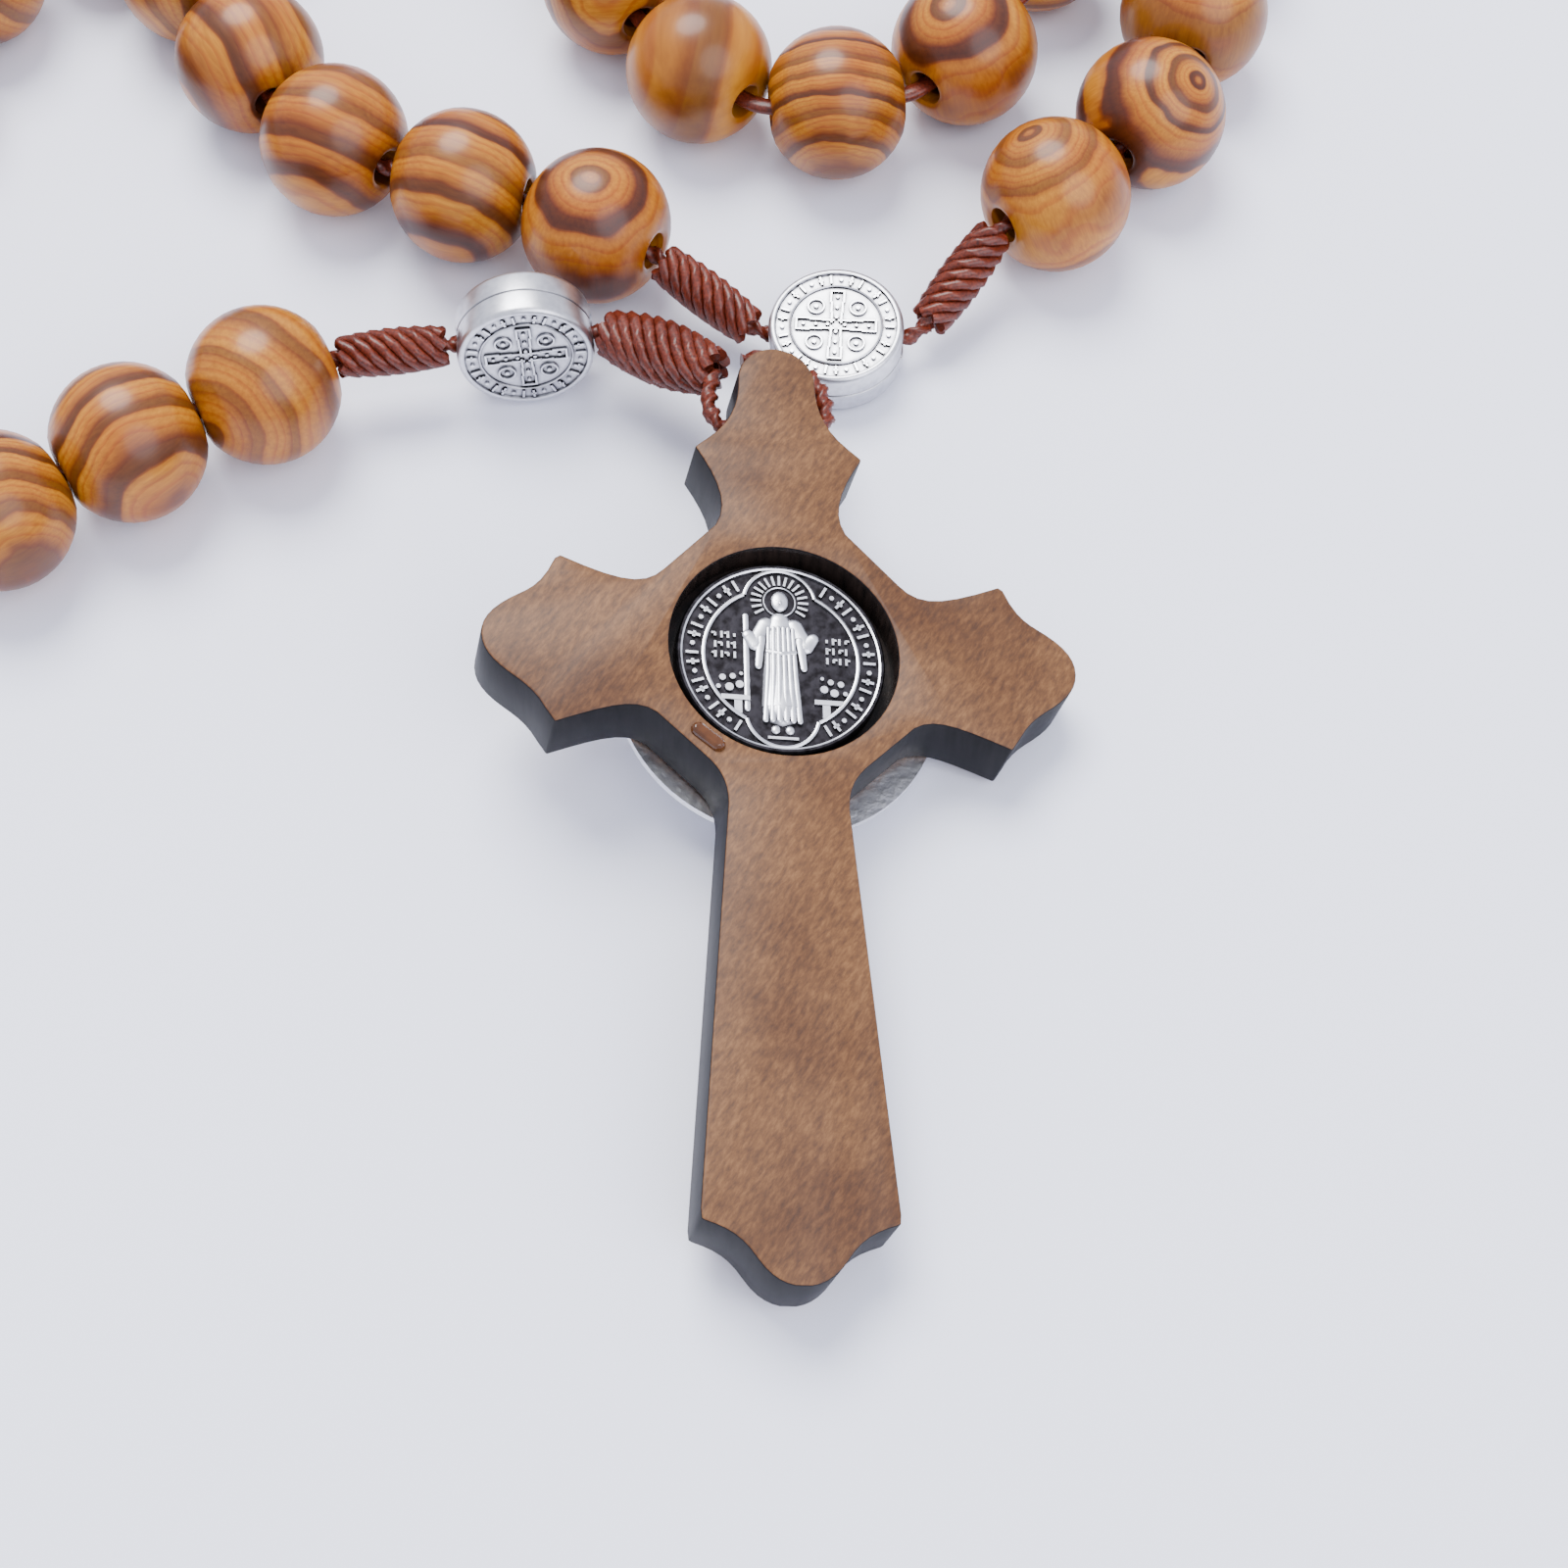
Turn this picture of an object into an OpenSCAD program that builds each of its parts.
// Five-decade rosary of wooden beads, knotted cord, medal beads and a wooden crucifix.
// It lies on a flat surface at z = 0, with the crucifix face down. All sizes are in millimetres.

/* [Beads] */
// Diameter of a wooden bead across its middle
bead_d = 10; // [9.6:0.1:10.2]
// Length of a wooden bead along its hole
bead_len = 8.9; // [8.5:0.1:9]
// Diameter of the flat at each end of a wooden bead
bead_flat_d = 3.8; // [3.2:0.1:4.4]
// Diameter of the hole through a wooden bead
bead_bore = 2.3; // [2:0.1:2.6]
// Slack left between neighbouring beads
bead_play = 0.05; // [0.05:0.05:0.3]

/* [Cord and knots] */
// Diameter of the twisted cord
cord_d = 1.2; // [1:0.05:1.4]
// Diameter of a coil knot at its middle
knot_d = 3; // [2.6:0.1:3.2]
// Diameter of a coil knot at its ends
knot_end_d = 2.3; // [2:0.1:2.5]
// Diameter of the two thick knots, by the crucifix and at the centre
thick_knot_d = 4.2; // [3.6:0.1:4.4]
// Gap left round the cord inside a knot
knot_play = 0.08; // [0.04:0.01:0.12]

/* [Medal beads] */
// Diameter of a medal bead
medal_d = 8.7; // [8.4:0.1:8.8]
// Thickness of a medal bead
medal_t = 3.5; // [3:0.1:3.6]
// Diameter of the cord hole through a medal bead
medal_bore = 2.2; // [1.9:0.1:2.4]
// Width of the raised border of a medal bead
medal_border = 0.4; // [0.3:0.05:0.6]
// Depth of a medal bead's sunken field
medal_field_depth = 0.2; // [0.1:0.05:0.3]

/* [Crucifix board] */
// Thickness of the board
board_t = 4.4; // [4.2:0.1:4.6]
// Diameter of the round recess in the back
recess_d = 13.6; // [13:0.1:14]
// Depth of the recess
recess_depth = 2.2; // [2:0.1:2.4]
// Distance from the recess centre up to the cord hole
cord_hole_y = 15.9; // [15.6:0.1:16.2]
// Diameter of the cord hole that runs sideways through the top lobe
cord_hole_d = 2.3; // [2.1:0.1:2.5]

/* [Crucifix metal] */
// Diameter of the medal glued into the recess
back_medal_d = 12.4; // [12:0.1:12.8]
// Thickness of that medal
back_medal_t = 1.1; // [1:0.1:1.2]
// Thickness of the glue under that medal
glue_t = 0.1; // [0.05:0.05:0.15]
// Diameter of the dished round plate behind the figure
dish_d = 19.6; // [19:0.1:20]
// Depth of the dish
dish_sag = 0.8; // [0.6:0.1:0.9]
// Thickness of the dish
dish_t = 0.5; // [0.4:0.1:0.6]
// Greatest height of the figure off the board
figure_relief = 2.45; // [2.2:0.05:2.45]
// Diameter of the figure's two fixing pins
pin_d = 1; // [0.8:0.1:1.2]
// Length of the pins inside the board
pin_len = 1.4; // [1:0.1:1.6]

/* [Hidden] */
$fn = 64;
eps = 0.01;
// Moves the whole rosary so that the middle of its floor area is at the origin
floor_shift = [20.8, -48, 0];
// Where the recess centre of the crucifix lies, and how the crucifix is turned
cross_at = [0.2, 1.2, 7.9];
cross_turn = [3.3, 11.6, 1.2];
bead_z = bead_d / 2;
// Height of the cord where it passes through a medal bead that lies flat
flat_z = 2.3;

// Turns a point of the crucifix board into a point of the rosary
function turn_x(p, a) = [p[0], p[1] * cos(a) - p[2] * sin(a), p[1] * sin(a) + p[2] * cos(a)];
function turn_y(p, a) = [p[0] * cos(a) + p[2] * sin(a), p[1], p[2] * cos(a) - p[0] * sin(a)];
function turn_z(p, a) = [p[0] * cos(a) - p[1] * sin(a), p[0] * sin(a) + p[1] * cos(a), p[2]];
function from_cross(p) =
    cross_at + turn_z(turn_y(turn_x(p, cross_turn[0]), cross_turn[1]), cross_turn[2]);
// Points of a bead chain, at the height of the bead holes
function on_beads(pts) = [for (p = pts) [p[0], p[1], bead_z]];
function between(p, q, t) = p + (q - p) * t;
function flip(list) = [for (i = [len(list) - 1 : -1 : 0]) list[i]];

// Half the cord that a bead takes up beside a bend: how near two barrels can sit at that angle,
// first touching on their end flats and, in a sharper bend, on their rounded sides
function half_share(bend) =
    let (lean = abs(bend) / 2, swell = (bead_d - bead_flat_d) / 2,
        side_r = (pow(bead_len / 2, 2) + pow(swell, 2)) / (2 * swell))
    bead_play / 2 + (cos(lean) > bead_len / 2 / side_r
        ? bead_len / 2 + bead_flat_d / 2 * tan(lean)
        : (side_r + (bead_d / 2 - side_r) * sin(lean)) / cos(lean));
// Cord taken up by bead i of a chain whose beads point along these headings
function span_of(headings, i) = 2 * max(
    half_share(i > 0 ? headings[i] - headings[i - 1] : 0),
    half_share(i < len(headings) - 1 ? headings[i + 1] - headings[i] : 0));
// The gaps between the beads of a chain: one step along each heading, in degrees from the x axis
function walk(start, headings, i = 0) = i == len(headings)
    ? [start]
    : concat([start], walk(start + span_of(headings, i) * [cos(headings[i]), sin(headings[i]), 0],
        headings, i + 1));

// The cord's route. Each decade's points are the gaps between its beads.
gaps_a = walk([-7.4, 33, bead_z], [150, 165, 145, 115, 125]);
gaps_a6 = on_beads([[-42.3, 65.9], [-52.6, 65.7]]);
run_a7_a10 = on_beads([[-53, 63], [-68.3, 30]]);
gaps_b = walk([14.5, 34.5, bead_z], [35, 55, 80]);
run_b4_b8 = on_beads([[30, 58.3], [36, 103.4]]);
turn_b = on_beads([[36.4, 106.5], [35, 109.3]]);
run_b9_b10 = on_beads([[32.5, 109.5], [16, 101.9]]);
run_c1_c2 = on_beads([[19.9, 73.8], [18.4, 55.7]]);
gaps_c = walk([16.5, 54, bead_z], [230, 185, 135, 115]);
run_c7_c10 = on_beads([[-13.8, 64.3], [-14.2, 100.7]]);
run_d1_d4 = on_beads([[-30.2, 111.6], [-31, 75.2]]);
gaps_d5 = on_beads([[-32, 70], [-41.6, 70]]);
run_d6_d10 = on_beads([[-42.8, 75.2], [-42, 120.7]]);
run_e1_e10 = on_beads([[-65, 123.5], [-77.7, 33.4]]);
gaps_p = walk([-28, 25, bead_z], [-155, -150, -145]);

// Knots: node name, start, end, middle diameter
KNOTS = [
    ["knot_by_cross", [-10.6, 26.8, 4.8], [-3.7, 22.5, 6.1], thick_knot_d],
    ["knot_drop_upper", [-27.6, 25.2, 4.9], [-20.9, 26.1, 4.7], knot_d],
    ["knot_drop_lower", [-53, 10.9, 4.9], [-59.4, 11.3, 2.7], knot_d],
    ["knot_centre", [-69.8, 15.7, 2.8], [-74.6, 23.8, 4.6], thick_knot_d],
    ["knot_a_side_of_medal_1", [-7.2, 32.4, 4.9], [-1.6, 28.7, 2.6], knot_d],
    ["knot_b_side_of_medal_1", [9.9, 28.9, 2.6], [14.3, 34.2, 4.9], knot_d],
    ["knot_b_side_of_medal_2", [15, 101.1, 4.9], [12.2, 94.6, 2.7], knot_d],
    ["knot_c_side_of_medal_2", [12.3, 83.4, 2.7], [16.2, 77.4, 4.8], knot_d],
    ["knot_c_side_of_medal_3", [-14.3, 101.4, 4.9], [-16.4, 107.9, 2.7], knot_d],
    ["knot_d_side_of_medal_3", [-27.6, 118.5, 2.7], [-29.9, 112.3, 4.9], knot_d],
    ["knot_d_side_of_medal_4", [-42.3, 121.4, 4.9], [-46.7, 126.7, 2.7], knot_d],
    ["knot_e_side_of_medal_4", [-58.4, 128.4, 2.7], [-64.1, 124.5, 4.8], knot_d],
];

// Medal beads: node name, cord point on one side, cord point on the other, lean about the cord
MEDALS = [
    ["medal_drop", [-20.5, 26.2, 4.7], [-11.3, 27.1, 4.7], 86],
    ["medal_centre", [-59.9, 11.4, flat_z], [-69.2, 15.3, flat_z], 0],
    ["medal_1", [-1.3, 28.3, flat_z], [9.1, 27.5, flat_z], 4],
    ["medal_2", [12, 94.2, flat_z], [12, 83.8, flat_z], 0],
    ["medal_3", [-17.1, 109, flat_z], [-26.6, 119.2, flat_z], 0],
    ["medal_4", [-47.3, 127.1, flat_z], [-57.7, 128.7, flat_z], 0],
];

// Beads: node name, span start, span end, how many beads sit on the span
function one_per_gap(name, pts, first) =
    [for (i = [0 : len(pts) - 2]) [str(name, first + i), pts[i], pts[i + 1], 1]];
function one_per_share(name, run, first, n) =
    [for (i = [0 : n - 1])
        [str(name, first + i), between(run[0], run[1], i / n), between(run[0], run[1], (i + 1) / n), 1]];
BEADS = concat(
    one_per_gap("bead_p", gaps_p, 1),
    one_per_gap("bead_a", gaps_a, 1),
    one_per_gap("bead_a", gaps_a6, 6),
    one_per_share("bead_a", run_a7_a10, 7, 4),
    one_per_gap("bead_b", gaps_b, 1),
    [["beads_b4_to_b8", run_b4_b8[0], run_b4_b8[1], 5]],
    one_per_share("bead_b", run_b9_b10, 9, 2),
    one_per_share("bead_c", run_c1_c2, 1, 2),
    one_per_gap("bead_c", gaps_c, 3),
    one_per_share("bead_c", run_c7_c10, 7, 4),
    [["beads_d1_to_d4", run_d1_d4[0], run_d1_d4[1], 4]],
    one_per_gap("bead_d", gaps_d5, 5),
    [["beads_d6_to_d10", run_d6_d10[0], run_d6_d10[1], 5]],
    [["beads_e1_to_e10", run_e1_e10[0], run_e1_e10[1], 10]]
);

// The loop: out of the centre knot, through decades a to e, and back into the centre knot
loop_route = concat(
    [[-74.2, 24.6, 4.7], [-73, 26.3, 4.9], [-70.3, 27.3, 5]],
    flip(run_a7_a10), flip(gaps_a6), flip(gaps_a),
    [KNOTS[4][1], KNOTS[4][2], MEDALS[2][1], MEDALS[2][2], KNOTS[5][1], KNOTS[5][2]],
    gaps_b, run_b4_b8, turn_b, run_b9_b10,
    [KNOTS[6][1], KNOTS[6][2], MEDALS[3][1], MEDALS[3][2], KNOTS[7][1], KNOTS[7][2], [18.6, 76, 5]],
    run_c1_c2, gaps_c, run_c7_c10,
    [KNOTS[8][1], KNOTS[8][2], MEDALS[4][1], MEDALS[4][2], KNOTS[9][1], KNOTS[9][2]],
    run_d1_d4, [[-31, 72, 5]], gaps_d5, [[-42.7, 72, 5]], run_d6_d10,
    [KNOTS[10][1], KNOTS[10][2], MEDALS[5][1], MEDALS[5][2], KNOTS[11][1], KNOTS[11][2]],
    run_e1_e10, [[-77.9, 30, 5], [-77, 26.8, 4.8], [-75.2, 24.9, 4.6]]
);
// The bight round the crucifix's top lobe, on the board's own axes, and its way through the hole
bight = [[-3.5, 19.8, -3], [-3.8, 18.2, -2.6], [-3.5, 16.7, -2.3], [-2.6, cord_hole_y, -board_t / 2],
    [2.6, cord_hole_y, -board_t / 2], [3.5, 16.8, -2.3], [3.7, 18.4, -2.6], [3.4, 20.3, -3],
    [2.2, 22, -3.4], [0.3, 22.8, -3.7], [-1.4, 22.3, -3.8]];
// The drop: from the centre knot to the crucifix, round its lobe, and back into the knot beside it
drop_route = concat(
    [KNOTS[3][1], MEDALS[1][2], MEDALS[1][1], KNOTS[2][2], KNOTS[2][1]],
    flip(gaps_p),
    [KNOTS[1][1], KNOTS[1][2], MEDALS[0][1], MEDALS[0][2], KNOTS[0][1], KNOTS[0][2]],
    [for (p = bight) from_cross(p)]
);

CROSS_PARTS = ["cross_board", "back_medal", "medal_glue", "front_dish", "corpus", "title_plate"];

function unit(v) = v / norm(v);

// A round tube along a list of points, with one ring of 8 corners at each point
module cord_along(pts) {
    n = len(pts);
    sides = 8;
    way = [for (i = [0 : n - 1]) unit(pts[min(i + 1, n - 1)] - pts[max(i - 1, 0)])];
    side = [for (w = way) unit(cross(w, [0, 0, 1]))];
    up = [for (i = [0 : n - 1]) cross(side[i], way[i])];
    corners = [for (i = [0 : n - 1]) for (k = [0 : sides - 1])
        pts[i] + cord_d / 2 * (cos(360 * k / sides) * side[i] + sin(360 * k / sides) * up[i])];
    walls = [for (i = [0 : n - 2]) for (k = [0 : sides - 1])
        let (a = i * sides + k, b = i * sides + (k + 1) % sides)
        for (face = [[a, b, b + sides], [a, b + sides, a + sides]]) face];
    caps = [[for (k = [sides - 1 : -1 : 0]) k], [for (k = [0 : sides - 1]) (n - 1) * sides + k]];
    color("sienna") polyhedron(corners, concat(walls, caps));
}

// Stands its children's z axis along the line from p to q, with their origin at the middle
module along(p, q) {
    d = q - p;
    translate((p + q) / 2)
        rotate([0, acos(d[2] / norm(d)), atan2(d[1], d[0])])
            children();
}

// A barrel shape: widest at its middle, with rounded sides and a hole
module barrel(wide_d, end_d, length, hole_d) {
    swell = (wide_d - end_d) / 2;
    arc_r = (pow(length / 2, 2) + pow(swell, 2)) / (2 * swell);
    rotate_extrude()
        intersection() {
            translate([wide_d / 2 - arc_r, 0])
                circle(arc_r, $fn = 256);
            translate([hole_d / 2, -length / 2])
                square([wide_d, length]);
        }
}

// One row of beads on a straight span of cord, shared out evenly
module bead_row(row) {
    n = row[3];
    color("peru")
        for (i = [0 : n - 1])
            along(between(row[1], row[2], i / n), between(row[1], row[2], (i + 1) / n))
                barrel(bead_d, bead_flat_d, bead_len, bead_bore);
}

module knot(row) {
    color("saddlebrown")
        along(row[1], row[2])
            barrel(row[3], knot_end_d, norm(row[2] - row[1]), cord_d + 2 * knot_play);
}

// A round medal with a cord hole through it from rim to rim, and a sunken field on each face
module medal_bead(row) {
    field_d = medal_d - 2 * medal_border;
    color("silver")
        along(row[1], row[2])
            rotate([0, 0, row[3]])
                difference() {
                    rotate([0, 90, 0])
                        difference() {
                            cylinder(d = medal_d, h = medal_t, center = true);
                            for (s = [0, 180])
                                rotate([s, 0, 0])
                                    translate([0, 0, medal_t / 2 - medal_field_depth])
                                        cylinder(d = field_d, h = medal_t);
                        }
                    cylinder(d = medal_bore, h = 2 * medal_d, center = true);
                }
}

module on_cross() {
    translate(cross_at)
        rotate(cross_turn)
            children();
}

// Points of a cubic curve, without its last point
function curve(a, b, c, d, n = 8) =
    [for (i = [0 : n - 1]) let (t = i / n, u = 1 - t)
        u * u * u * a + 3 * u * u * t * b + 3 * u * t * t * c + t * t * t * d];
function mirrored(pts) = [for (i = [len(pts) - 1 : -1 : 0]) [-pts[i][0], pts[i][1]]];

// Right-hand edge of the board, from the top of the lobe down to the foot
lobe_r = 2.38;
lobe_y = 18.45;
half_outline = concat(
    [for (i = [0 : 9]) [lobe_r * sin(9 * i), lobe_y + lobe_r * cos(9 * i)]],
    curve([lobe_r, lobe_y], [2.35, 16.6], [2.9, 14.9], [5.1, 13.45]),
    curve([5.1, 13.35], [3.6, 11], [2.9, 9], [4.4, 7.45]),
    curve([7, 4.85], [8.2, 3.55], [9.5, 3.7], [13.1, 5.2], 7),
    [[13.1, 5.2], [13.4, 5]],
    curve([13.4, 5], [14.2, 3], [15, 2.8], [15.9, 2.2], 6),
    curve([15.9, 2.2], [17.1, 1.4], [17.6, 0.6], [17.55, -0.3], 6),
    curve([17.55, -0.3], [17.5, -1.2], [17, -1.9], [15.9, -2.7], 6),
    curve([15.9, -2.7], [14.9, -3.4], [14.2, -3.9], [13.5, -5.5], 6),
    curve([13.3, -5.6], [9.6, -4.1], [8.4, -3.7], [7, -5]),
    curve([4.8, -7.1], [3.9, -7.9], [3.5, -8.7], [3.5, -10]),
    [[3.5, -10], [5.4, -33.5], [5.35, -34]],
    curve([5.2, -34.1], [3.9, -34.5], [3.2, -34.9], [2.4, -36.1], 6),
    curve([2.4, -36.1], [1.7, -37.1], [0.9, -37.5], [0, -37.5], 6)
);

module cross_board() {
    color("sienna")
        on_cross()
            difference() {
                translate([0, 0, -board_t])
                    linear_extrude(board_t)
                        polygon(concat(half_outline, mirrored(half_outline)));
                translate([0, 0, -recess_depth])
                    cylinder(d = recess_d, h = board_t);
                translate([0, cord_hole_y, -board_t / 2])
                    rotate([0, 90, 0])
                        cylinder(d = cord_hole_d, h = 12, center = true);
                for (at = pin_places)
                    translate([at[0], at[1], -board_t - eps])
                        cylinder(d = pin_d, h = pin_len + eps);
            }
}

module back_medal() {
    face_z = glue_t + back_medal_t - recess_depth;
    color("silver")
        on_cross()
            difference() {
                translate([0, 0, glue_t - recess_depth])
                    cylinder(d = back_medal_d, h = back_medal_t);
                translate([0, 0, face_z - 0.25])
                    difference() {
                        cylinder(d = back_medal_d - 0.8, h = 1);
                        translate([0, 0, -eps])
                            cylinder(d = back_medal_d - 3.2, h = 1 + 2 * eps);
                    }
            }
}

// The glue under the medal, and the drop of it that ran out by the shaft
module medal_glue() {
    color("chocolate")
        on_cross() {
            translate([0, 0, -recess_depth])
                cylinder(d = back_medal_d - 0.4, h = glue_t);
            translate([-4.6, -6, 0])
                rotate([0, 0, -38])
                    intersection() {
                        hull()
                            for (x = [-0.7, 0.7])
                                translate([x, 0, 0])
                                    sphere(d = 0.9, $fn = 16);
                        translate([-2, -2, 0])
                            cube([4, 4, 0.4]);
                    }
        }
}

// A shallow round dish with its hollow towards the board
module front_dish() {
    rim_gap = 0.15;
    ball_r = (pow(dish_d / 2, 2) + pow(dish_sag, 2)) / (2 * dish_sag);
    color("silver")
        on_cross()
            translate([0.5, 0, -board_t - rim_gap])
                rotate([180, 0, 0])
                    intersection() {
                        cylinder(d = dish_d, h = 3);
                        difference() {
                            translate([0, 0, dish_t + dish_sag - ball_r])
                                sphere(ball_r, $fn = 200);
                            translate([0, 0, dish_sag - ball_r])
                                sphere(ball_r, $fn = 200);
                        }
                    }
}

// Where the figure's two pins enter the board, at the hands
pin_places = [[-13, 1.6], [13, 1.6]];

// A plain crucified figure in low relief, hollow-cast in one piece with its pins
module limb(points) {
    for (i = [0 : len(points) - 2])
        hull()
            for (p = [points[i], points[i + 1]])
                translate([p[0], p[1], -board_t - p[2]])
                    sphere(p[3], $fn = 14);
}

module corpus() {
    color("silver")
        on_cross()
            intersection() {
                union() {
                    limb([[0.5, 3.4, 1.6, 1.15], [0.4, 2, 1.5, 0.7], [0, -1, 1.5, 0.8]]);
                    for (s = [-1, 1])
                        limb([[2.2 * s, -0.2, 1.5, 0.85], [7.6 * s, 0.2, 1.4, 0.6], [13 * s, 1.6, 0.4, 0.6]]);
                    hull()
                        for (p = [[-1.9, -0.4, 0.9], [1.9, -0.4, 0.9], [-1.2, -6.4, 0.9], [1.2, -6.4, 0.9]])
                            translate([p[0], p[1], -board_t - 1.5])
                                sphere(p[2] + 0.2, $fn = 14);
                    hull()
                        for (p = [[-1.6, -7.4], [1.6, -7.4], [-1.5, -10.6], [1.7, -10.4]])
                            translate([p[0], p[1], -board_t - 1.4])
                                sphere(1.2, $fn = 14);
                    limb([[0, -10, 1.2, 1.3], [0.5, -15.4, 1.5, 0.95], [0, -21.4, 0.8, 0.8]]);
                    for (at = pin_places)
                        translate([at[0], at[1], -board_t - 0.5])
                            cylinder(d = pin_d - 0.1, h = pin_len + 0.4);
                }
                union() {
                    translate([-20, -30, -board_t - figure_relief])
                        cube([40, 50, figure_relief]);
                    for (at = pin_places)
                        translate([at[0], at[1], -board_t - 0.5])
                            cylinder(d = pin_d, h = pin_len + 0.5);
                }
            }
}

// A blank name plate above the figure
module title_plate() {
    plate = [5.4, 2, 0.6];
    color("silver")
        on_cross()
            translate([-plate[0] / 2, 11.2, -board_t - plate[2]])
                cube(plate);
}

module whole() {
    translate(floor_shift)
        children();
}

whole() cross_board();
whole() back_medal();
whole() medal_glue();
whole() front_dish();
whole() corpus();
whole() title_plate();
whole() cord_along(drop_route);  // drop_cord
whole() cord_along(loop_route);  // loop_cord
for (row = KNOTS) whole() knot(row);
for (row = MEDALS) whole() medal_bead(row);
for (row = BEADS) whole() bead_row(row);
